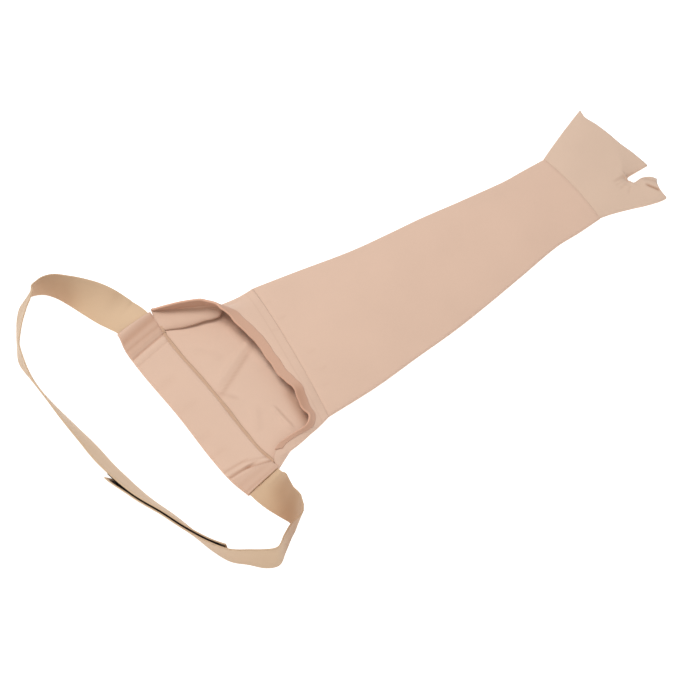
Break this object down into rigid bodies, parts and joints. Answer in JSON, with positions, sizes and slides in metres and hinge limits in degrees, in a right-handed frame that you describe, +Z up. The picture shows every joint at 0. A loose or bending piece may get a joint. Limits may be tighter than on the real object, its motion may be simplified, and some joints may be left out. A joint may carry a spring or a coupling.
{
  "type": "arm compression sleeve",
  "caption": "Knitted compression sleeve for the whole arm with a thumbed hand gauntlet, an open shoulder cap and a looped elastic chest strap.",
  "frame": {"origin": "on the floor under the middle of the arm tube, on the tube's flat underside", "axes": "+X along the arm towards the hand, +Y across the sleeve away from the thumb's side, +Z up out of the floor"},
  "size_m": [0.677, 0.3953, 0.0385],
  "materials": {
    "sleeve_knit": "fine matte knit",
    "gauntlet_knit": "fine matte knit",
    "binding_knit": "soft ribbed knit",
    "strap_elastic": "woven elastic, slight sheen",
    "closure_tape": "hook and loop pile"
  },
  "bodies": {
    "root": {"arm_sleeve": "sleeve_knit", "hand_gauntlet": "gauntlet_knit", "shoulder_cap": "sleeve_knit", "rim_binding": "binding_knit", "hem_band": "sleeve_knit", "hem_seam": "binding_knit", "chest_strap": "strap_elastic", "loop_tape": "closure_tape", "hook_tape": "closure_tape"}
  },
  "joints": []
}
